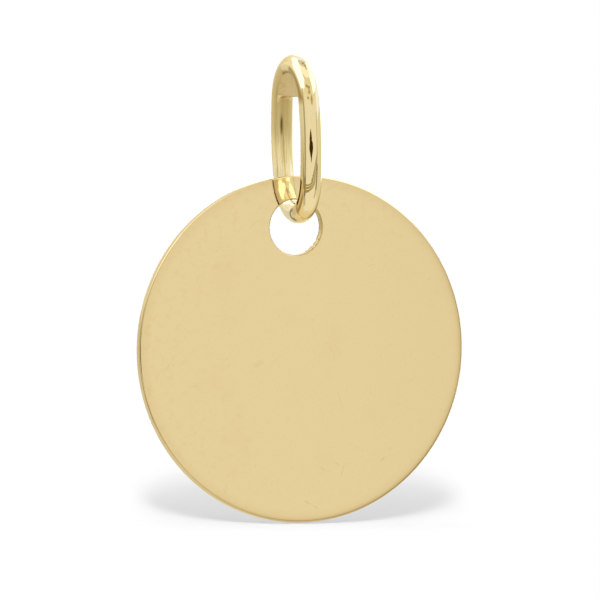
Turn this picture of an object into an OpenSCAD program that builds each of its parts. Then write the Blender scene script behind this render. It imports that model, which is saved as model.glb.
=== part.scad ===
// Flat round disc pendant that hangs by a drilled hole on an oval wire ring, the bail.
// Millimetres, +Z up. The origin is the inside top of the bail, where a chain lies under the solder.
// The disc stands along X and Z and faces -Y. The bail stands along Y and Z, across the disc.

/* [Disc] */
// Diameter of the disc
disc_d = 12; // [8:0.5:16]
// Thickness of the disc
disc_t = 0.32; // [0.25:0.01:0.7]
// Radius that polishing leaves on the disc's outer edge
disc_edge_r = 0.06; // [0.02:0.01:0.1]
// Diameter of the hole that the bail passes through
hole_d = 1.92; // [1.8:0.01:2.6]
// Metal left between the hole and the disc's outer edge
hole_web = 0.82; // [0.5:0.01:1.5]
// Width of the small bevel on both rims of the hole
hole_bevel = 0.04; // [0.01:0.01:0.08]

/* [Bail] */
// Diameter of the bail's round wire
wire_d = 0.75; // [0.5:0.01:0.9]
// Height inside the bail's wire, from bend to bend
bail_inner_h = 4.35; // [4:0.05:7]
// Inside radius of the bail's top and bottom bends
bail_bend_r = 0.98; // [0.9:0.01:1.3]
// How far each side bows out past the end bends
bail_side_bow = 0.11; // [0.05:0.005:0.6]
// How far down the solder of the joint fills the inside of the top bend
solder_h = 0.74; // [0.3:0.02:0.9]
// Thickness of that solder fill, thinner than the wire
solder_t = 0.5; // [0.2:0.02:0.6]

/* [Hang] */
// Clearance between the bail's wire and the top of the hole
hang_gap = 0.03; // [0.02:0.01:0.08]
// How far the bail hangs forward of the disc's middle
bail_forward = 0.14; // [0:0.02:0.2]
// Degrees that the bail is twisted away from square to the disc
bail_twist = 1.5; // [0:0.5:5]
// Degrees that the disc is turned in its own plane, so that the wire sits beside the hole's top
disc_turn = 1.4; // [0:0.1:1.5]

/* [Hidden] */
$fn = 96;
// Extra depth of a cutter past the face that it cuts
cut_past = 0.2;
// The bail's sides are a hair thinner than its bends and reach a little into them, which makes one solid
side_thinning = 0.004;
side_lap = 0.03;
// The solder fill keeps to this share of the wire's thickness, so its curved edge stays sunk in the wire
fill_share = 0.8;

// Centre line of the bail: half height, end bends and half width
bail_half_h = bail_inner_h / 2 + wire_d / 2;
end_arc_r = bail_bend_r + wire_d / 2;
bail_half_w = end_arc_r + bail_side_bow;

// Each long side is one arc that meets both end bends in a tangent
end_arc_z = bail_half_h - end_arc_r;
side_arc_r = (end_arc_z ^ 2 + bail_half_w ^ 2 - end_arc_r ^ 2) / (2 * bail_side_bow);
side_arc_y = side_arc_r - bail_half_w;
side_half_angle = atan2(end_arc_z, side_arc_y);
lap_angle = side_lap / side_arc_r * 180 / PI;

fill_t = min(solder_t, fill_share * wire_d);

// Heights of the bail's middle and of its lowest wire, which the disc swings about
bail_z = solder_h - bail_inner_h / 2;
swing_z = bail_z - bail_half_h;

// The bottom bend has risen this far where it leaves the back of the disc, and the hole clears it there
bend_reach = bail_forward + disc_t / 2;
bend_rise = bail_bend_r - sqrt(bail_bend_r ^ 2 - bend_reach ^ 2);
hang_drop = hole_d / 2 - wire_d / 2 - bend_rise - hang_gap;

// The disc's middle is straight below the wire, and its hole is turned a little to the left of that line
hole_from_middle = disc_d / 2 - hole_web - hole_d / 2;
hole_x = -hole_from_middle * sin(disc_turn);
hole_z = swing_z - sqrt(hang_drop ^ 2 - hole_x ^ 2);
disc_z = hole_z - hole_from_middle * cos(disc_turn);

gold = [0.89, 0.8, 0.58];
bright_gold = [0.93, 0.85, 0.6];

// Half section of the disc, from its axis to its rounded edge
module disc_section() {
  flat_r = disc_d / 2 - disc_edge_r;
  flat_t = disc_t - 2 * disc_edge_r;
  translate([0, -disc_t / 2])
    square([flat_r, disc_t]);
  translate([0, -flat_t / 2])
    square([disc_d / 2, flat_t]);
  for (side = [-1, 1])
    translate([flat_r, side * flat_t / 2])
      circle(r = disc_edge_r);
}

// Cutter of the hole: a straight bore with a bevel at each face
module hole_cutter() {
  cylinder(h = disc_t + 2 * cut_past, d = hole_d, center = true);
  for (face = [0, 1])
    mirror([0, 0, face])
      translate([0, 0, disc_t / 2 - hole_bevel])
        cylinder(h = 2 * hole_bevel, r1 = hole_d / 2, r2 = hole_d / 2 + 2 * hole_bevel);
}

module disc() {
  color(gold)
    translate([0, bail_forward, 0])
      rotate([90, 0, 0])
        difference() {
          translate([0, disc_z])
            rotate_extrude()
              disc_section();
          translate([hole_x, hole_z])
            hole_cutter();
        }
}

// A bent length of wire, half an angle to each side of the middle direction, in the plane of its own X and Y
module wire_arc(radius, middle, half_angle, thickness) {
  rotate([0, 0, middle - half_angle])
    rotate_extrude(angle = 2 * half_angle)
      translate([radius, 0])
        circle(d = thickness);
}

// The wire of the bail: two end bends and two long sides
module bail_wire() {
  for (end = [0, 180])
    rotate([0, 0, end]) {
      translate([0, end_arc_z])
        wire_arc(end_arc_r, 90, 90 - side_half_angle, wire_d);
      translate([-side_arc_y, 0])
        wire_arc(side_arc_r, 0, side_half_angle + lap_angle, wire_d - side_thinning);
    }
}

// A flat web of solder inside the top bend, its curved edge sunk in the wire
module solder_fill() {
  linear_extrude(fill_t, center = true)
    intersection() {
      translate([0, end_arc_z])
        circle(r = end_arc_r);
      translate([-bail_half_w, -bail_z])
        square([2 * bail_half_w, bail_half_h]);
    }
}

module bail_ring() {
  color(bright_gold)
    translate([0, 0, bail_z])
      rotate([90, 0, 90 - bail_twist]) {
        bail_wire();
        solder_fill();
      }
}

disc();
bail_ring();
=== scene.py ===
import math

import bpy
from mathutils import Matrix, Vector, noise


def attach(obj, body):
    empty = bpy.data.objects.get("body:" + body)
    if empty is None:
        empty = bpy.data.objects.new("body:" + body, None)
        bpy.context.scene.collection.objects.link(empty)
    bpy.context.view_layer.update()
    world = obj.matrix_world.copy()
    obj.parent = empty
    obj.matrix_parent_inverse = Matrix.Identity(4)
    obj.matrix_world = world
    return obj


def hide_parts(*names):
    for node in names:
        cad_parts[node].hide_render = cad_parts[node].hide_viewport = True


# A flat polished gold disc on an oval wire ring. Sizes are in millimetres and become metres
# with MM. The frame is the CAD's: the origin is where a chain lies under the solder inside the
# ring's top bend, +Z is up and the disc faces -Y.
MM = 0.001

# Disc
DISC_R = 6.0
DISC_T = 0.32
DISC_EDGE_R = 0.06
HOLE_R = 0.96
HOLE_WEB = 0.82
HOLE_BEVEL = 0.04
DISC_FORWARD = 0.14
DISC_MIDDLE_Z = -8.701
DISC_TURN = math.radians(1.4)

# Ring
WIRE_R = 0.375
RING_MIDDLE_Z = -1.435
RING_HALF_H = 2.55
RING_END_R = 1.355
RING_END_Z = RING_HALF_H - RING_END_R
RING_SIDE_BOW = 0.11
RING_TWIST = math.radians(1.5)
SOLDER_T = 0.5

# Photograph's view of the object
PHOTO_PX = 600
PX_PER_MM = 28.93
VIEW_AZIMUTH = -21.58
VIEW_ELEVATION = 2.5
VIEW_ROLL = 1.3
DISC_MIDDLE_PX = (299.8, 348.9)
LENS_MM = 1000
SENSOR_MM = 36

# Gold, as linear colours, and tints that multiply it: painted shade, dirt, painted dark reflections
# and painted light
DISC_GOLD = (0.896, 0.802, 0.589)
RING_GOLD = (0.933, 0.866, 0.625)
# Darker than the ring's gold: painted shade on the solder inside the top bend
SHADED_SOLDER_GOLD = (0.711, 0.598, 0.356)
# Painted shade, darkening the gold
PAINTED_SHADE_TINT = (0.76, 0.71, 0.59)
# Dirt in the seam's marks, and painted shade in the crease beside the solder
DIRT_AND_SHADE_TINT = (0.5, 0.4, 0.22)
# Painted dark reflections on the ring
DARK_REFLECTION_TINT = (0.3, 0.27, 0.18)
# Painted highlight along the solder's low edge
SOLDER_EDGE_HIGHLIGHT = (1.18, 1.25, 1.5)
# Painted light low on the ring's rear side
PAINTED_LIGHT_TINT = (1.07, 1.11, 1.29)

# Colours of the studio's panels
SOFTBOX_WHITE = (1.0, 0.98, 0.87)
WARM_WHITE = (0.878, 0.785, 0.557)
WARM_SHADE = (0.9, 0.787, 0.499)
CEILING_WHITE = (0.9, 0.82, 0.64)
TABLE_GOLD = (1.0, 0.78, 0.42)
TABLE_BROWN = (0.378, 0.279, 0.096)
CARD_BROWN = (0.057, 0.02, 0.001)
FLOOR_SHADE = 0.565


def collection_link(obj):
    bpy.context.scene.collection.objects.link(obj)
    return obj


def compass(azimuth, elevation):
    """Direction from the object towards a point of the studio, azimuth 0 being -Y and 90 +X."""
    a = math.radians(azimuth)
    e = math.radians(elevation)
    return Vector((math.sin(a) * math.cos(e), -math.cos(a) * math.cos(e), math.sin(e)))


def make_camera():
    data = bpy.data.cameras.new("camera")
    data.lens = LENS_MM
    data.sensor_width = SENSOR_MM
    cam = collection_link(bpy.data.objects.new("camera", data))
    a = math.radians(VIEW_AZIMUTH)
    roll = math.radians(VIEW_ROLL)
    back = compass(VIEW_AZIMUTH, VIEW_ELEVATION)
    level_right = Vector((math.cos(a), math.sin(a), 0))
    level_up = back.cross(level_right)
    right = level_right * math.cos(roll) - level_up * math.sin(roll)
    up = level_right * math.sin(roll) + level_up * math.cos(roll)
    px = MM / PX_PER_MM
    aim = disc_middle() * MM
    aim = aim + right * (PHOTO_PX / 2 - DISC_MIDDLE_PX[0]) * px
    aim = aim - up * (PHOTO_PX / 2 - DISC_MIDDLE_PX[1]) * px
    distance = LENS_MM / SENSOR_MM * PHOTO_PX * px
    turn = Matrix((right, up, back)).transposed().to_4x4()
    cam.matrix_world = Matrix.Translation(aim + back * distance) @ turn
    data.clip_start = 0.01
    data.clip_end = 10
    bpy.context.scene.camera = cam


def mesh_object(name, verts, faces, material, smooth=True):
    mesh = bpy.data.meshes.new(name)
    mesh.from_pydata([v * MM for v in verts], [], faces)
    mesh.validate()
    if smooth:
        mesh.shade_smooth()
    if material:
        mesh.materials.append(material)
    return collection_link(bpy.data.objects.new(name, mesh))


def closed_grid_faces(rows, columns, inside_out=False):
    """Quads of a grid of vertices that closes on itself both ways."""
    faces = []
    for r in range(rows):
        below = (r + 1) % rows * columns
        for c in range(columns):
            beside = (c + 1) % columns
            quad = (r * columns + c, below + c, below + beside, r * columns + beside)
            faces.append(quad[::-1] if inside_out else quad)
    return faces


# Disc: rows of its mesh, and the burr in its hole
AROUND = 480
FACE_STEPS = 36
EDGE_STEPS = 6
BEVEL_STEPS = 3
HOLE_BURR = 0.02
BURR_ANGLE = math.radians(-45)
BURR_ELSEWHERE = 0.15
BURR_AROUND = 9
BURR_PER_MM = 8


def disc_loop():
    """Section of the disc as one loop: front face outwards, rim, back face inwards, bore."""
    loop = []
    half_t = DISC_T / 2
    shares = [(1 - math.cos(math.pi * k / FACE_STEPS)) / 2 for k in range(FACE_STEPS + 1)]
    for share in shares[:-1]:
        loop.append(("face", share, -half_t))
    for k in range(EDGE_STEPS + 1):
        turn = math.pi / 2 * k / EDGE_STEPS
        inset = DISC_EDGE_R * (1 - math.sin(turn))
        loop.append(("rim", inset, -half_t + DISC_EDGE_R * (1 - math.cos(turn))))
    for k in range(EDGE_STEPS + 1):
        turn = math.pi / 2 * k / EDGE_STEPS
        inset = DISC_EDGE_R * (1 - math.cos(turn))
        loop.append(("rim", inset, half_t - DISC_EDGE_R * (1 - math.sin(turn))))
    for share in reversed(shares[:-1]):
        loop.append(("face", share, half_t))
    for k in range(BEVEL_STEPS):
        part = (k + 1) / BEVEL_STEPS
        loop.append(("bore", HOLE_BEVEL * (1 - part), half_t - HOLE_BEVEL * part))
    for k in range(BEVEL_STEPS):
        part = k / BEVEL_STEPS
        loop.append(("bore", HOLE_BEVEL * part, -half_t + HOLE_BEVEL * (1 - part)))
    return loop


def disc_middle():
    return Vector((0, DISC_FORWARD, DISC_MIDDLE_Z))


def hole_middle():
    turned = Vector((-math.sin(DISC_TURN), 0, math.cos(DISC_TURN)))
    return disc_middle() + turned * (DISC_R - HOLE_WEB - HOLE_R)


def hole_burr(angle, depth):
    """Uneven edge that the punch left, mostly at the low right of the hole."""
    low_right = max(0, math.cos(angle - BURR_ANGLE)) ** 4
    round_hole = Vector((math.cos(angle), 0, math.sin(angle))) * BURR_AROUND
    rough = noise.noise(round_hole + Vector((0, depth * BURR_PER_MM, 0)))
    return HOLE_BURR * rough * (BURR_ELSEWHERE + low_right)


def disc_vertices():
    middle = disc_middle()
    hole = hole_middle()
    verts = []
    loop = disc_loop()
    for i in range(AROUND):
        angle = 2 * math.pi * i / AROUND
        ray = Vector((math.cos(angle), 0, math.sin(angle)))
        offset = hole - middle
        along = ray.dot(offset)
        reach = -along + math.sqrt(along**2 + DISC_R**2 - offset.length_squared)
        bore_edge = hole + ray * (HOLE_R + HOLE_BEVEL)
        rim = hole + ray * reach
        rim_out = (rim - middle).normalized()
        face_end = rim - rim_out * DISC_EDGE_R
        for kind, value, depth in loop:
            if kind == "face":
                point = bore_edge.lerp(face_end, value)
            elif kind == "rim":
                point = rim - rim_out * value
            else:
                point = hole + ray * (HOLE_R + value + hole_burr(angle, depth))
            verts.append(Vector((point.x, DISC_FORWARD + depth, point.z)))
    return verts, len(loop)


def make_disc(material):
    verts, columns = disc_vertices()
    disc = mesh_object("disc_sheet", verts, closed_grid_faces(AROUND, columns, True), material)
    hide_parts("disc")
    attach(disc, "pendant")
    return disc


# Ring: length and number of its mesh's steps
RING_STEP = 0.04
WIRE_AROUND = 72

# Marks of the soldered seam on the top bend: degrees along it, degrees around the wire from its
# outside, then length, width and depth
SEAM_MARKS = [
    (123, -8, 0.07, 0.06, 0.01),
    (130, -3, 0.2, 0.04, 0.012),
    (156, -22, 0.08, 0.06, 0.01),
    (161, -14, 0.22, 0.07, 0.014),
    (171, -23, 0.1, 0.04, 0.01),
    (173, -5, 0.2, 0.05, 0.01),
]
UNEVEN_DEPTH = 0.008
UNEVEN_PER_MM = 1.7


def ring_arcs():
    """The four arcs of the ring's centre line: middle, radius, first and last angle."""
    half_w = RING_END_R + RING_SIDE_BOW
    side_r = (RING_END_Z**2 + half_w**2 - RING_END_R**2) / (2 * RING_SIDE_BOW)
    side_x = side_r - half_w
    lean = math.atan2(RING_END_Z, side_x)
    half_turn = math.pi
    return [
        ((0, RING_END_Z), RING_END_R, lean, half_turn - lean),
        ((side_x, 0), side_r, half_turn - lean, half_turn + lean),
        ((0, -RING_END_Z), RING_END_R, half_turn + lean, 2 * half_turn - lean),
        ((-side_x, 0), side_r, -lean, lean),
    ]


def ring_path():
    """Points of the centre line with their outward directions, in the ring's own plane."""
    path = []
    for middle, radius, first, last in ring_arcs():
        steps = round((last - first) * radius / RING_STEP)
        for k in range(steps):
            angle = first + (last - first) * k / steps
            out = (math.cos(angle), math.sin(angle))
            path.append((middle[0] + radius * out[0], middle[1] + radius * out[1], out))
    return path


def ring_axes():
    """The ring's middle and its own directions: along it, across it and up."""
    middle = Vector((0, 0, RING_MIDDLE_Z))
    along = Vector((math.sin(RING_TWIST), math.cos(RING_TWIST), 0))
    across = Vector((math.cos(RING_TWIST), -math.sin(RING_TWIST), 0))
    return middle, along, across, Vector((0, 0, 1))


def seam_depth(out, around):
    """How deep the marks of the seam are at a direction along the bend and one around the wire."""
    along_bend = math.degrees(math.atan2(out[1], out[0]))
    around_wire = math.degrees(around) if around < math.pi else math.degrees(around) - 360
    depth = 0
    for place, side, length, width, deep in SEAM_MARKS:
        far = math.radians(along_bend - place) * RING_END_R / length
        aside = math.radians(around_wire - side) * WIRE_R / width
        depth += deep * math.exp(-(far**2) - aside**2)
    return depth


def seam_point(along_bend, around_wire):
    """Point of the wire's surface on the top bend, from its direction along the bend and around."""
    middle, along, across, up = ring_axes()
    bend = math.radians(along_bend)
    side = math.radians(around_wire)
    outward = along * math.cos(bend) + up * math.sin(bend)
    from_end = outward * (RING_END_R + WIRE_R * math.cos(side)) + across * WIRE_R * math.sin(side)
    return middle + up * RING_END_Z + from_end


def ring_vertices():
    middle, along, across, up = ring_axes()
    verts = []
    path = ring_path()
    for p, z, out in path:
        centre = middle + along * p + up * z
        outward = along * out[0] + up * out[1]
        for j in range(WIRE_AROUND):
            angle = 2 * math.pi * j / WIRE_AROUND
            away = outward * math.cos(angle) + across * math.sin(angle)
            uneven = 0.5 + 0.5 * noise.noise((centre + away * WIRE_R) * UNEVEN_PER_MM)
            radius = WIRE_R - seam_depth(out, angle) - UNEVEN_DEPTH * uneven
            verts.append(centre + away * radius)
    return verts, len(path)


def make_ring(material):
    verts, rows = ring_vertices()
    ring = mesh_object("ring_wire", verts, closed_grid_faces(rows, WIRE_AROUND), material)
    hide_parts("bail_ring")
    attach(ring, "bail")
    return ring


# Solder web in the ring's own plane: reach, half width, rounding of its lower edge, mesh steps
SOLDER_REACH = 1.3
SOLDER_HALF_W = 1.27
SOLDER_EDGE = 0.05
SOLDER_COLUMNS = 48
SOLDER_ROWS = 24

# Its lower edge creeps down by the wire, and its thickness swells from a thin middle to the wire
SOLDER_LOW_Z = 0.02
SOLDER_CREEP = 0.14
SOLDER_CREEP_AT = 1.02
SOLDER_THIN = 0.8
SOLDER_SWELL = 0.3
SOLDER_SWELL_AT = 1.1


def solder_low(p):
    """Height of the solder's lower edge, which creeps down where it wets the wire."""
    return SOLDER_LOW_Z - RING_MIDDLE_Z - SOLDER_CREEP * (abs(p) / SOLDER_CREEP_AT) ** 8


def solder_half_t(p, z):
    """Half the solder's thickness: it swells to the wire and rounds off at its lower edge."""
    from_bend = math.hypot(p, z - RING_END_Z)
    swell = SOLDER_SWELL * min(1, from_bend / SOLDER_SWELL_AT) ** 4
    depth = min(1, max(0, z - solder_low(p)) / SOLDER_EDGE)
    return SOLDER_T / 2 * (SOLDER_THIN + swell) * math.sqrt(1 - (1 - depth) ** 2)


def solder_section(p):
    """Heights and half thicknesses of the solder at a place along the ring, from its low edge."""
    low = solder_low(p)
    high = RING_END_Z + math.sqrt(SOLDER_REACH**2 - p**2)
    section = []
    for k in range(SOLDER_ROWS):
        z = low + (high - low) * (k / (SOLDER_ROWS - 1)) ** 2
        section.append((z, solder_half_t(p, z)))
    return section


def solder_vertices():
    middle, along, across, up = ring_axes()
    verts = []
    for i in range(SOLDER_COLUMNS + 1):
        p = SOLDER_HALF_W * (2 * i / SOLDER_COLUMNS - 1)
        section = solder_section(p)
        for z, half in reversed(section):
            verts.append(middle + along * p + up * z + across * half)
        for z, half in section:
            verts.append(middle + along * p + up * z - across * half)
    return verts


def solder_faces():
    """Quads around the solder from end to end, and one face that closes each end."""
    around = 2 * SOLDER_ROWS
    faces = []
    for i in range(SOLDER_COLUMNS):
        for k in range(around):
            here = i * around + k
            beside = i * around + (k + 1) % around
            faces.append((here, beside, beside + around, here + around))
    faces.append(tuple(range(around)))
    last = SOLDER_COLUMNS * around
    faces.append(tuple(last + k for k in reversed(range(around))))
    return faces


def make_solder(material):
    solder = mesh_object("solder_fill", solder_vertices(), solder_faces(), material)
    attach(solder, "bail")
    return solder


# Tools for materials. A share is 0 where a mark is missing and 1 where it is full.
def feed(tree, socket, value):
    """Link an output to an input, or set the input to a plain value."""
    if isinstance(value, bpy.types.NodeSocket):
        tree.links.new(value, socket)
    else:
        socket.default_value = value


def add_node(tree, kind, inputs, **settings):
    made = tree.nodes.new(kind)
    for key, value in settings.items():
        setattr(made, key, value)
    for key, value in inputs.items():
        feed(tree, made.inputs[key], value)
    return made


def calc(tree, operation, *values):
    inputs = dict(enumerate(values))
    return add_node(tree, "ShaderNodeMath", inputs, operation=operation).outputs[0]


def vector_calc(tree, operation, *values, output="Vector"):
    inputs = dict(enumerate(values))
    return add_node(tree, "ShaderNodeVectorMath", inputs, operation=operation).outputs[output]


def ramp(tree, value, start, end):
    """Smooth step from 0 at the start to 1 at the end."""
    inputs = {"Value": value, "From Min": start, "From Max": end}
    made = add_node(tree, "ShaderNodeMapRange", inputs, interpolation_type="SMOOTHSTEP")
    return made.outputs["Result"]


def all_of(tree, *shares):
    """Product of some shares."""
    product = shares[0]
    for share in shares[1:]:
        product = calc(tree, "MULTIPLY", product, share)
    return product


def hypotenuse(tree, a, b):
    squares = calc(tree, "ADD", calc(tree, "MULTIPLY", a, a), calc(tree, "MULTIPLY", b, b))
    return calc(tree, "SQRT", squares)


def parts_of(tree, vector):
    """The X, Y and Z of a vector."""
    parts = add_node(tree, "ShaderNodeSeparateXYZ", {"Vector": vector}).outputs
    return parts["X"], parts["Y"], parts["Z"]


def reach_towards(tree, offset, direction):
    return vector_calc(tree, "DOT_PRODUCT", offset, direction, output="Value")


def place_in_mm(tree):
    """Where a point of the surface lies in the CAD frame at rest, in millimetres."""
    here = tree.nodes.new("ShaderNodeTexCoord").outputs["Object"]
    return vector_calc(tree, "MULTIPLY", here, (1 / MM, 1 / MM, 1 / MM))


def distance_across_y(tree, place, middle):
    """Distance from a line along Y through a middle."""
    offset = vector_calc(tree, "SUBTRACT", place, middle)
    flat = vector_calc(tree, "MULTIPLY", offset, (1, 0, 1))
    return vector_calc(tree, "LENGTH", flat, output="Value")


def grain(tree, place, per_mm, detail=2.0, stretch=(1, 1, 1), turn=0.0):
    """Noise from 0 to 1, stretched along the axes after a turn about Y."""
    turned = add_node(tree, "ShaderNodeMapping", {"Vector": place, "Rotation": (0, turn, 0)})
    scaled = vector_calc(tree, "MULTIPLY", turned.outputs["Vector"], stretch)
    inputs = {"Vector": scaled, "Scale": per_mm, "Detail": detail}
    return add_node(tree, "ShaderNodeTexNoise", inputs).outputs["Fac"]


def layered(tree, base, layers):
    """A base colour, multiplied by each layer's tint as far as the layer's share goes."""
    colour = (*base, 1)
    for share, tint in layers:
        inputs = {"Fac": share, "Color1": colour, "Color2": (*tint, 1)}
        mix = add_node(tree, "ShaderNodeMixRGB", inputs, blend_type="MULTIPLY")
        colour = mix.outputs["Color"]
    return colour


def gold(name):
    material = bpy.data.materials.new(name)
    material.use_nodes = True
    tree = material.node_tree
    shader = tree.nodes["Principled BSDF"]
    shader.inputs["Metallic"].default_value = 1.0
    return material, tree, shader


def relief(tree, shader, height, depth):
    """Bump of the shader's normal, with its depth in millimetres."""
    inputs = {"Height": height, "Distance": depth * MM, "Strength": 1.0}
    bump = add_node(tree, "ShaderNodeBump", inputs)
    feed(tree, shader.inputs["Normal"], bump.outputs["Normal"])


# Marks on the front of the disc: X and height of the middle, half length, half width and the
# degrees by which the mark leans from level
FACE_MARKS = [
    (-1.0, -9.08, 0.42, 0.022, 45),
    (-1.62, -9.14, 0.26, 0.13, 20),
    (1.4, -10.5, 0.45, 0.02, -72),
    (1.43, -12.95, 0.3, 0.03, 75),
    (-1.55, -4.25, 0.4, 0.03, 32),
    (-4.95, -9.1, 0.7, 0.035, 55),
    (2.65, -5.9, 0.2, 0.03, 15),
]
FACE_MARK_BEND = 0.25
HAIRLINE_TURNS = (0.35, 1.0, 2.1, 2.7)
SCRATCH_SHARE = 0.7

# Where the disc's mottling and painted shade begin and where they are full: distances from the
# disc's middle, then reaches from it to the right, up and towards the low right
MOTTLE_OUT = (1.5, 6)
EDGE_SHADE_OUT = (DISC_R - 0.5, DISC_R - 0.05)
LOW_RIM_SHADE_OUT = (DISC_R - 0.3, DISC_R - 0.01)
SIDE_FACE_OUT = (DISC_R - 0.02, DISC_R - 0.005)
FRONT_EDGE_OUT = (DISC_R - 0.06, DISC_R - 0.035)
SHADE_RIGHT = (0, 6)
SIDE_FACE_UP = (-1.5, 3)
FRONT_EDGE_LOW_END = (-1.5, 1)
FRONT_EDGE_HIGH_END = (4.4, 1.8)
LOW_RIGHT = (0.75, 0, -0.66)
MOTTLE_HIGH_LEFT = (5, -4)
LOW_RIM_SHADE_REACH = (-2, 5.5)


def face_marks(tree, place):
    """Share of the disc's single scratches and stains, each a little bent and ragged."""
    ragged = calc(tree, "MULTIPLY", grain(tree, place, 8.0, 2.0), 1.4)
    marks = 0.0
    for x, z, half_length, half_width, lean in FACE_MARKS:
        level = math.cos(math.radians(lean))
        steep = math.sin(math.radians(lean))
        offset = vector_calc(tree, "SUBTRACT", place, (x, 0, z))
        along = reach_towards(tree, offset, (level, 0, steep))
        across = reach_towards(tree, offset, (-steep, 0, level))
        square = calc(tree, "MULTIPLY", along, along)
        bent = calc(tree, "MULTIPLY_ADD", square, FACE_MARK_BEND, across)
        long_way = calc(tree, "DIVIDE", along, half_length)
        short_way = calc(tree, "DIVIDE", bent, half_width)
        far = calc(tree, "ADD", hypotenuse(tree, long_way, short_way), ragged)
        marks = calc(tree, "MAXIMUM", marks, ramp(tree, far, 1.9, 1.1))
    return marks


def hairlines(tree, place, turn):
    """Short thin scratches in one direction, only where a coarser noise allows them."""
    line = ramp(tree, grain(tree, place, 1.0, 1.0, (14, 1, 1.1), turn), 0.68, 0.74)
    where = ramp(tree, grain(tree, place, 0.7, 1.0, (1, 1, 1), turn), 0.59, 0.65)
    return all_of(tree, line, where)


def disc_scratches(tree, place):
    scratches = face_marks(tree, place)
    for turn in HAIRLINE_TURNS:
        scratches = calc(tree, "MAXIMUM", scratches, hairlines(tree, place, turn))
    return calc(tree, "MULTIPLY", scratches, SCRATCH_SHARE)


def disc_face_layers(tree, place, from_middle, offset):
    """Painted shade on the right side, faint clouds, mottling towards the high left rim, and
    specks.
    """
    right, _, _ = parts_of(tree, offset)
    low_right = reach_towards(tree, offset, LOW_RIGHT)
    cloud = ramp(tree, grain(tree, place, 0.55, 5.0), 0.5, 0.72)
    mottle = ramp(tree, grain(tree, place, 3.6, 5.0), 0.5, 0.66)
    mottle = all_of(tree, mottle, ramp(tree, from_middle, *MOTTLE_OUT))
    mottle = all_of(tree, mottle, ramp(tree, low_right, *MOTTLE_HIGH_LEFT))
    specks = ramp(tree, grain(tree, place, 8.0, 0.0), 0.74, 0.82)
    return [
        (ramp(tree, right, *SHADE_RIGHT), (0.975, 0.975, 0.975)),
        (cloud, (0.988, 0.976, 0.967)),
        (mottle, (0.98, 0.957, 0.94)),
        (specks, (0.975, 0.96, 0.94)),
    ]


def disc_rim_layers(tree, from_middle, offset):
    """Painted shade near the rim, at its low right, and on its side face and front edge."""
    _, back, up = parts_of(tree, offset)
    low_right = reach_towards(tree, offset, LOW_RIGHT)
    # Painted shade on the rim at its low right
    low_rim_shade = calc(tree, "POWER", ramp(tree, from_middle, *LOW_RIM_SHADE_OUT), 2.5)
    low_rim_shade = all_of(tree, low_rim_shade, ramp(tree, low_right, *LOW_RIM_SHADE_REACH))
    side_face = ramp(tree, from_middle, *SIDE_FACE_OUT)
    side_face = all_of(tree, side_face, ramp(tree, up, *SIDE_FACE_UP))
    front = -DISC_T / 2 + DISC_EDGE_R
    front_edge = ramp(tree, from_middle, *FRONT_EDGE_OUT)
    front_edge = all_of(tree, front_edge, ramp(tree, back, front, front - 0.02))
    front_edge = all_of(tree, front_edge, ramp(tree, up, *FRONT_EDGE_LOW_END))
    front_edge = all_of(tree, front_edge, ramp(tree, up, *FRONT_EDGE_HIGH_END))
    return [
        (ramp(tree, from_middle, *EDGE_SHADE_OUT), (0.965, 0.945, 0.91)),
        (low_rim_shade, PAINTED_SHADE_TINT),
        (side_face, (0.86, 0.85, 0.78)),
        (front_edge, (0.7, 0.7, 0.66)),
    ]


def disc_gold():
    """Polished sheet with faint clouds, specks and hairlines; painted shade at its rim, and in its
    hole, whose wall is also rougher.
    """
    material, tree, shader = gold("disc_gold")
    place = place_in_mm(tree)
    offset = vector_calc(tree, "SUBTRACT", place, disc_middle())
    from_middle = distance_across_y(tree, place, disc_middle())
    from_hole = distance_across_y(tree, place, hole_middle())
    hole_edge = HOLE_R + HOLE_BEVEL
    fine = grain(tree, place, 7.0, 3.0)
    scratches = disc_scratches(tree, place)
    # The hole's wall is rougher, and painted shade darkens it
    bore = ramp(tree, from_hole, hole_edge + 0.02, hole_edge - 0.01)
    layers = [(fine, (0.985, 0.98, 0.975))]
    layers += disc_face_layers(tree, place, from_middle, offset)
    layers += [(scratches, (0.97, 0.955, 0.93))]
    layers += disc_rim_layers(tree, from_middle, offset)
    layers += [(bore, PAINTED_SHADE_TINT)]
    feed(tree, shader.inputs["Base Color"], layered(tree, DISC_GOLD, layers))
    rough = calc(tree, "MULTIPLY_ADD", fine, 0.04, 0.04)
    rough = calc(tree, "MULTIPLY_ADD", scratches, 0.12, rough)
    rough = calc(tree, "MULTIPLY_ADD", bore, 0.25, rough)
    feed(tree, shader.inputs["Roughness"], rough)
    relief(tree, shader, calc(tree, "SUBTRACT", fine, scratches), 0.0004)
    return material


# Middles and half sizes, in the CAD frame, of a spot of painted highlight in the rear's painted
# shade, of painted dark reflections on the rear side of the ring, and of a curved line of painted
# dark reflection where the wire passes the disc's hole
LIT_SPOT = (-0.32, -0.12, 1.04)
LIT_SPOT_SIZE = (0.5, 0.52, 0.2)
DARK_REFLECTION_SPOT = (-0.11, 1.1, -0.98)
DARK_REFLECTION_SPOT_SIZE = (0.05, 0.5, 0.42)
DARK_REFLECTION_LINE = (-0.04, 1.1, -2.2)
DARK_REFLECTION_LINE_SIZE = (0.035, 0.5, 1.0)
HOLE_REFLECTION_SPOT = (-0.44, -0.35, -4.03)
HOLE_REFLECTION_SPOT_SIZE = (0.5, 0.17, 0.19)

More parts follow.
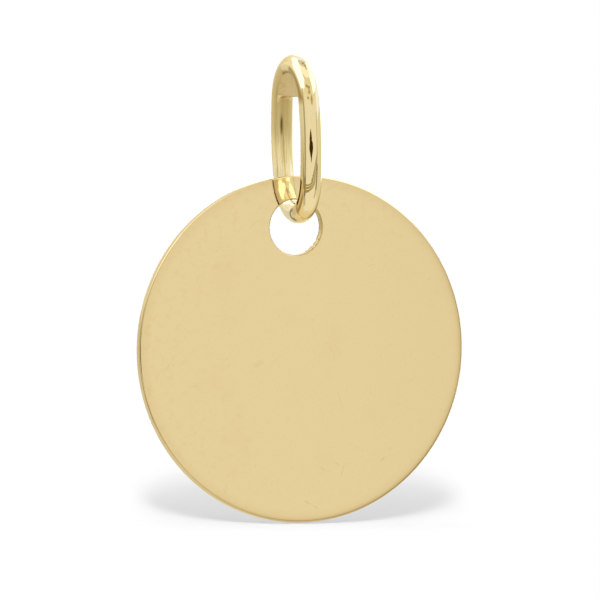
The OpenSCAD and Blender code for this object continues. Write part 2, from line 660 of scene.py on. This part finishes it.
# Where each mark of the wire begins and where it is full, most of them painted shade and painted
# light: heights, then Y, X and distances from the ring's middle line
SHADE_ABOVE = (-1.9, -0.9)
LIGHT_BELOW = (-1.9, -2.7)
STREAKS_BELOW = (-0.6, -1.6)
MATT_ABOVE = (-4.0, -1.2)
CREASE_ABOVE = (-0.3, 0.1)
FRONT_LEFT_BELOW = (-0.6, -2.0)
FRONT_FACE_BELOW = (0.6, 0.2)
REAR_Y = (-0.55, 0.0)
FRONT_Y = (-0.2, -0.5)
HOLE_REFLECTION_Y = (-0.5, -0.35)
CREASE_WIDE_Y = (-0.45, -0.2)
CREASE_END_Y = (0.5, 0.35)
FRONT_LEFT_X = (-0.32, -0.36)
FRONT_FACE_X = (-0.36, -0.32)
FRONT_LEFT_OUT = (1.1, 1.25)
FRONT_FACE_OUT = (1.3, 1.5)
CREASE_IN = (1.64, 1.5)


def from_ring_line(tree, y, z):
    """Distance from the ring's middle line: about 1.0 at the inside of the wire, 1.8 outside."""
    from_middle = calc(tree, "ABSOLUTE", calc(tree, "SUBTRACT", z, RING_MIDDLE_Z))
    past = calc(tree, "MAXIMUM", calc(tree, "SUBTRACT", from_middle, RING_END_Z), 0.0)
    return hypotenuse(tree, y, past)


def near_spot(tree, place, middle, size):
    """Distance from a spot's middle in half sizes, a little uneven."""
    offset = vector_calc(tree, "SUBTRACT", place, middle)
    scaled = vector_calc(tree, "DIVIDE", offset, size)
    far = vector_calc(tree, "LENGTH", scaled, output="Value")
    uneven = calc(tree, "SUBTRACT", grain(tree, place, 5.0, 1.0), 0.5)
    return calc(tree, "MULTIPLY_ADD", uneven, 0.5, far)


def seam_stains(tree, place):
    """Share of old flux, with ragged edges, in the marks of the seam."""
    ragged = calc(tree, "MULTIPLY", grain(tree, place, 9.0, 2.0), 1.6)
    stains = 0.0
    for along_bend, around_wire, length, width, _ in SEAM_MARKS:
        offset = vector_calc(tree, "SUBTRACT", place, seam_point(along_bend, around_wire))
        scaled = vector_calc(tree, "MULTIPLY", offset, (1 / width, 1 / length, 1 / length))
        far = calc(tree, "ADD", vector_calc(tree, "LENGTH", scaled, output="Value"), ragged)
        stains = calc(tree, "MAXIMUM", stains, ramp(tree, far, 1.8, 1.0))
    return stains


def ring_rear_layers(tree, place, rear, z):
    """Painted shade high on the rear side, left out at a spot of painted highlight; painted light
    and streaks further down.
    """
    # A spot of painted highlight, where the painted shade is left out
    lit_spot = ramp(tree, near_spot(tree, place, LIT_SPOT, LIT_SPOT_SIZE), 1.25, 0.85)
    rear_shade = all_of(tree, rear, ramp(tree, z, *SHADE_ABOVE))
    rear_shade = all_of(tree, rear_shade, calc(tree, "MULTIPLY_ADD", lit_spot, -0.75, 1.0))
    rear_light = all_of(tree, rear, ramp(tree, z, *LIGHT_BELOW))
    streaks = ramp(tree, grain(tree, place, 1.0, 2.0, (14, 14, 0.5)), 0.5, 0.62)
    streaks = all_of(tree, streaks, rear, ramp(tree, z, *STREAKS_BELOW))
    return [(rear_shade, PAINTED_SHADE_TINT), (rear_light, PAINTED_LIGHT_TINT), (streaks, (0.86, 0.83, 0.77))]


def ring_front_layers(tree, x, y, z, from_line):
    """The front side: painted shade on its left, and a painted highlight on the face that looks
    out.
    """
    front = ramp(tree, y, *FRONT_Y)
    left = all_of(tree, front, ramp(tree, from_line, *FRONT_LEFT_OUT))
    left = all_of(tree, left, ramp(tree, x, *FRONT_LEFT_X), ramp(tree, z, *FRONT_LEFT_BELOW))
    face = all_of(tree, front, ramp(tree, from_line, *FRONT_FACE_OUT))
    face = all_of(tree, face, ramp(tree, x, *FRONT_FACE_X), ramp(tree, z, *FRONT_FACE_BELOW))
    return [(left, (0.84, 0.79, 0.71)), (face, (1.03, 1.03, 1.1))]


def ring_crease_shade(tree, y, z, from_line):
    """Share of painted shade in the crease beside the solder, widest at the rear of the top bend.
    """
    width = calc(tree, "MULTIPLY_ADD", z, 0.15, from_line)
    width = calc(tree, "MULTIPLY_ADD", ramp(tree, y, *CREASE_WIDE_Y), 0.25, width)
    crease = all_of(tree, ramp(tree, width, *CREASE_IN), ramp(tree, z, *CREASE_ABOVE))
    return all_of(tree, crease, ramp(tree, y, *CREASE_END_Y))


def ring_hole_reflection(tree, place, y):
    """Share of a curved line of painted dark reflection of the disc's hole wall: the outline of a
    spot.
    """
    from_outline = calc(tree, "SUBTRACT", near_spot(tree, place, HOLE_REFLECTION_SPOT, HOLE_REFLECTION_SPOT_SIZE), 1.0)
    line = ramp(tree, calc(tree, "ABSOLUTE", from_outline), 0.5, 0.2)
    return all_of(tree, line, ramp(tree, y, *HOLE_REFLECTION_Y))


def ring_gold():
    """Bright wire with faint draw lines and stains in the seam's marks, rougher high on its rear;
    painted shade and painted light on its rear, front and crease, and painted dark reflections on
    its rear and near the disc's hole.
    """
    material, tree, shader = gold("ring_gold")
    place = place_in_mm(tree)
    x, y, z = parts_of(tree, place)
    from_line = from_ring_line(tree, y, z)
    fine = grain(tree, place, 6.0, 3.0)
    drawn = grain(tree, place, 1.0, 2.0, (9, 9, 0.7))
    rear = ramp(tree, y, *REAR_Y)
    # Painted dark reflections: a spot and a line on the inside of the rear side
    dark_reflection = ramp(tree, near_spot(tree, place, DARK_REFLECTION_SPOT, DARK_REFLECTION_SPOT_SIZE), 1.3, 0.2)
    dark_reflection_line = ramp(tree, near_spot(tree, place, DARK_REFLECTION_LINE, DARK_REFLECTION_LINE_SIZE), 1.2, 0.6)
    layers = [(fine, (0.98, 0.97, 0.96)), (drawn, (0.96, 0.95, 0.92))]
    layers += ring_rear_layers(tree, place, rear, z)
    layers += ring_front_layers(tree, x, y, z, from_line)
    # Painted shade in the crease, and dirt in the seam's marks
    layers += [(ring_crease_shade(tree, y, z, from_line), DIRT_AND_SHADE_TINT), (seam_stains(tree, place), DIRT_AND_SHADE_TINT)]
    # Painted dark reflections near the disc's hole and on the inside of the rear side
    layers += [(ring_hole_reflection(tree, place, y), DARK_REFLECTION_TINT), (dark_reflection, DARK_REFLECTION_TINT), (dark_reflection_line, PAINTED_SHADE_TINT)]
    feed(tree, shader.inputs["Base Color"], layered(tree, RING_GOLD, layers))
    matt = all_of(tree, rear, ramp(tree, z, *MATT_ABOVE))
    rough = calc(tree, "MULTIPLY_ADD", fine, 0.03, 0.03)
    rough = calc(tree, "MULTIPLY_ADD", matt, 0.35, rough)
    feed(tree, shader.inputs["Roughness"], rough)
    relief(tree, shader, fine, 0.0012)
    return material


# Where the solder has painted shade beside the wire, by distance from the ring's middle line, and
# where it has a painted highlight at its low edge, by height
SOLDER_CREASE_OUT = (1.08, 1.2)
SOLDER_EDGE_Z = (0.09, 0.05)


def solder_gold():
    """Unpolished solder in a darker gold that paints shade, with painted shade in the crease where
    it meets the wire and a painted highlight at its low edge.
    """
    material, tree, shader = gold("solder_gold")
    place = place_in_mm(tree)
    _, y, z = parts_of(tree, place)
    fine = grain(tree, place, 7.0, 4.0)
    streaks = ramp(tree, grain(tree, place, 1.0, 2.0, (2, 2, 9)), 0.5, 0.75)
    crease = ramp(tree, from_ring_line(tree, y, z), *SOLDER_CREASE_OUT)
    # Painted shade in the crease beside the wire, and below, a painted highlight on the low edge
    layers = [(fine, (0.94, 0.92, 0.88)), (streaks, (0.88, 0.84, 0.76)), (crease, PAINTED_SHADE_TINT)]
    layers += [(ramp(tree, z, *SOLDER_EDGE_Z), SOLDER_EDGE_HIGHLIGHT)]
    feed(tree, shader.inputs["Base Color"], layered(tree, SHADED_SOLDER_GOLD, layers))
    feed(tree, shader.inputs["Roughness"], calc(tree, "MULTIPLY_ADD", fine, 0.2, 0.25))
    relief(tree, shader, fine, 0.006)
    return material


def emission(name, strength, colour):
    material = bpy.data.materials.new(name)
    material.use_nodes = True
    tree = material.node_tree
    tree.nodes.clear()
    output = tree.nodes.new("ShaderNodeOutputMaterial")
    glow = tree.nodes.new("ShaderNodeEmission")
    glow.inputs["Color"].default_value = (*colour, 1)
    glow.inputs["Strength"].default_value = strength
    tree.links.new(glow.outputs["Emission"], output.inputs["Surface"])
    return material


# Studio: a sphere of panels about the object. A panel has azimuths, elevations, strength, colour.
STUDIO_R = 0.4
PATCH_COLUMNS = 33
PATCH_ROWS = 9
PANELS = [
    ("ceiling_gap", (-75, 60), (16, 64), 0.95, WARM_SHADE),
    ("zenith_front", (-155, 115), (62, 90), 1.25, CEILING_WHITE),
    ("zenith_rear", (115, 205), (57, 80), 0.8, CEILING_WHITE),
    ("zenith_cap", (115, 205), (80, 90), 1.25, CEILING_WHITE),
    ("back_right", (118, 165), (-6, 27), 1.65, SOFTBOX_WHITE),
    ("back_right_low", (118, 165), (-37, -6), 1.0, WARM_WHITE),
    ("nadir_front", (-115, 115), (-90, -37), 1.03, WARM_WHITE),
    ("nadir_rear", (115, 245), (-90, -37), 0.8, TABLE_GOLD),
    ("back_left", (165, 250), (-37, 5), 0.88, WARM_WHITE),
    ("back_left_top", (165, 250), (5, 33), 1.1, WARM_WHITE),
    ("left_wall", (-110, -75), (-37, 20), 0.95, WARM_SHADE),
    ("front_wall", (-75, 60), (-37, 18), 1.0, WARM_WHITE),
    ("right_wall", (60, 118), (-37, 5), 0.88, WARM_SHADE),
]

# Darker posts stand nearer to the object than the walls: azimuths, elevations and strength
POST_NEARER = 0.97
POSTS = [
    ("left_post_low", (-101, -80), (-55, -34), 0.62),
    ("left_post", (-100, -78), (-34, -12), 0.3),
    ("left_post_middle", (-98, -80), (-12, 8), 0.5),
    ("left_post_top", (-97, -82), (8, 22), 0.75),
    ("right_post_low", (36, 54), (-50, -32), 0.62),
    ("right_post", (36, 54), (-32, -12), 0.35),
    ("right_post_top", (38, 50), (-12, 8), 0.65),
]

# Softboxes: their low and high rows of corners, and the share of their size over which they fade
SOFTBOX_STRENGTH = 1.65
SOFTBOX_STEPS = 6
SOFTBOX_NEARER = 0.99
SOFTBOX_STEP = 0.005
LEFT_SOFTBOX_LOW = [(-182, 36), (-150, 33), (-142, 18), (-104, 14), (-56, 32)]
LEFT_SOFTBOX_HIGH = [(-182, 54), (-150, 64), (-112, 65), (-82, 56), (-57, 52)]
LEFT_SOFTBOX_FADE = 0.12
RIGHT_SOFTBOX_LOW = [(20, 22), (132, 25)]
RIGHT_SOFTBOX_HIGH = [(40, 62), (132, 64)]
RIGHT_SOFTBOX_FADE = 0.2

# Dark card at the camera, and the table's edges as long dark bars: elevation and thickness
CARD_NEARER = 0.95
CARD_LOW = [(-43, -4.5), (-21, -13), (0, -4.5)]
CARD_HIGH = [(-43, -4.5), (-21, 4), (0, -4.5)]
BAR_DISTANCE = 60
BAR_REACH = 8
BAR_AZIMUTH = -35
TABLE_EDGES = [(-25.3, 3.6), (-30.8, 4.4), (-37.3, 5.2)]

# Floor: half its size, its gap below the disc and the degrees by which it leans
FLOOR_HALF = 3000
FLOOR_GAP = 0.06
FLOOR_LEAN = 2.2

# Lamps that only the floor shows: elevation, brightness that they add to the floor, and degrees
# over which the edge of their shadow fades
SUN_AZIMUTH = VIEW_AZIMUTH + 0.4
SUNS = [
    (15, 0.075, 3),
    (18.5, 0.08, 3.5),
    (23, 0.075, 4.5),
    (32, 0.045, 9),
    (48, 0.03, 18),
    (90, 0.14, 50),
]


def studio_mesh(name, verts, faces, strength, colour):
    """A glowing or dark panel that is seen only in reflections."""
    panel = mesh_object(name, verts, faces, emission(name, strength, colour), smooth=False)
    panel.visible_camera = False
    panel.visible_diffuse = False
    panel.visible_shadow = False
    return panel


def between(azimuths, elevations):
    """Rows of low and of high corners of a panel between two azimuths and two elevations."""
    (left, right), (low, high) = azimuths, elevations
    return [(left, low), (right, low)], [(left, high), (right, high)]


def along_row(corners, share):
    """The direction at a share of the way along a row of corners."""
    place = share * (len(corners) - 1)
    k = min(int(place), len(corners) - 2)
    return Vector(corners[k]).lerp(Vector(corners[k + 1]), place - k)


def patch_faces():
    faces = []
    for r in range(PATCH_ROWS - 1):
        for c in range(PATCH_COLUMNS - 1):
            corner = r * PATCH_COLUMNS + c
            above = corner + PATCH_COLUMNS
            faces.append((corner, corner + 1, above + 1, above))
    return faces


def studio_patch(name, corners, strength, colour, nearer=1.0):
    """A panel on a sphere about the object, given by its rows of low and of high corners."""
    lows, highs = corners
    verts = []
    for r in range(PATCH_ROWS):
        for c in range(PATCH_COLUMNS):
            share = c / (PATCH_COLUMNS - 1)
            low = along_row(lows, share)
            azimuth, elevation = low.lerp(along_row(highs, share), r / (PATCH_ROWS - 1))
            verts.append(compass(azimuth, elevation) * STUDIO_R * nearer / MM)
    return studio_mesh(name, verts, patch_faces(), strength, colour)


def softbox(name, corners, fade):
    """A bright panel that fades out at its edges: nested patches, each nearer its middle."""
    count = sum(len(row) for row in corners)
    middle = sum((Vector(corner) for row in corners for corner in row), Vector((0, 0))) / count
    for k in range(SOFTBOX_STEPS):
        share = fade * k / SOFTBOX_STEPS
        inner = [[Vector(corner).lerp(middle, share) for corner in row] for row in corners]
        glow = 1 + (SOFTBOX_STRENGTH - 1) * (k + 1) / SOFTBOX_STEPS
        nearer = SOFTBOX_NEARER - SOFTBOX_STEP * k
        studio_patch(f"{name}_{k}", inner, glow, SOFTBOX_WHITE, nearer)


def studio_bar(name, elevation, thickness):
    """A long straight level bar, nearest to the object in the bars' direction."""
    towards = compass(BAR_AZIMUTH, elevation)
    level = compass(BAR_AZIMUTH + 90, 0)
    rise = level.cross(towards)
    middle = towards * BAR_DISTANCE
    half = BAR_DISTANCE * math.tan(math.radians(thickness / 2))
    reach = BAR_DISTANCE * BAR_REACH
    verts = []
    for side, end in ((-1, -1), (-1, 1), (1, 1), (1, -1)):
        verts.append(middle + rise * side * half + level * end * reach)
    return studio_mesh(name, verts, [(0, 1, 2, 3)], 1.0, TABLE_BROWN)


def make_world():
    world = bpy.data.worlds.new("white")
    world.use_nodes = True
    background = world.node_tree.nodes["Background"]
    background.inputs["Color"].default_value = (1, 1, 1, 1)
    background.inputs["Strength"].default_value = 1.0
    bpy.context.scene.world = world


def floor_paint():
    material = bpy.data.materials.new("floor")
    material.use_nodes = True
    shader = material.node_tree.nodes["Principled BSDF"]
    shader.inputs["Base Color"].default_value = (FLOOR_SHADE, FLOOR_SHADE, FLOOR_SHADE, 1)
    shader.inputs["Roughness"].default_value = 1.0
    shader.inputs["Specular IOR Level"].default_value = 0.0
    return material


def make_floor():
    """Pale floor, which leans sideways so that the shadow on it is level in the picture."""
    middle = Vector((0, 0, DISC_MIDDLE_Z - DISC_R - FLOOR_GAP))
    lean = Matrix.Rotation(math.radians(-FLOOR_LEAN), 3, compass(VIEW_AZIMUTH, 0))
    corners = []
    for x, y in ((-1, -1), (1, -1), (1, 1), (-1, 1)):
        corners.append(lean @ Vector((x * FLOOR_HALF, y * FLOOR_HALF, 0)) + middle)
    floor = mesh_object("floor", corners, [(0, 1, 2, 3)], floor_paint(), smooth=False)
    floor.visible_glossy = False
    return floor


def make_sun(name, elevation, floor_light, spread):
    """A distant lamp that adds some brightness to the floor, with shadow edges of some degrees."""
    data = bpy.data.lights.new(name, "SUN")
    data.energy = floor_light * math.pi / (FLOOR_SHADE * math.sin(math.radians(elevation)))
    data.angle = math.radians(spread)
    data.cycles.use_multiple_importance_sampling = False
    light = collection_link(bpy.data.objects.new(name, data))
    towards = compass(SUN_AZIMUTH, elevation)
    light.rotation_mode = "QUATERNION"
    light.rotation_quaternion = (-towards).to_track_quat("-Z", "Y")
    light.visible_glossy = False


def make_studio():
    make_world()
    make_floor()
    for elevation, floor_light, spread in SUNS:
        make_sun(f"sun_{elevation}", elevation, floor_light, spread)
    softbox("left_softbox", (LEFT_SOFTBOX_LOW, LEFT_SOFTBOX_HIGH), LEFT_SOFTBOX_FADE)
    softbox("right_softbox", (RIGHT_SOFTBOX_LOW, RIGHT_SOFTBOX_HIGH), RIGHT_SOFTBOX_FADE)
    for name, azimuths, elevations, strength, colour in PANELS:
        studio_patch(name, between(azimuths, elevations), strength, colour)
    for name, azimuths, elevations, strength in POSTS:
        studio_patch(name, between(azimuths, elevations), strength, WARM_SHADE, POST_NEARER)
    studio_patch("camera_dark", (CARD_LOW, CARD_HIGH), 1.0, CARD_BROWN, CARD_NEARER)
    for k, (elevation, thickness) in enumerate(TABLE_EDGES):
        studio_bar(f"table_edge_{k}", elevation, thickness)


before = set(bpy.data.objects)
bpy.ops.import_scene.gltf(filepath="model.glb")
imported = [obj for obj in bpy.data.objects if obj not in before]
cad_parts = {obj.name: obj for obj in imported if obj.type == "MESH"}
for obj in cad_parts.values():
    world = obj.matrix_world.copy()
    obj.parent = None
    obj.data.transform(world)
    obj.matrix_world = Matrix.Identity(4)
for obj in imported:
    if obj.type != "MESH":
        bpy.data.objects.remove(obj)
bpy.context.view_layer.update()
make_camera()
bpy.context.scene.view_settings.view_transform = "Standard"
make_studio()
disc_object = make_disc(disc_gold())
ring_object = make_ring(ring_gold())
solder_object = make_solder(solder_gold())
for gold_piece in (disc_object, ring_object, solder_object):
    gold_piece.visible_diffuse = False
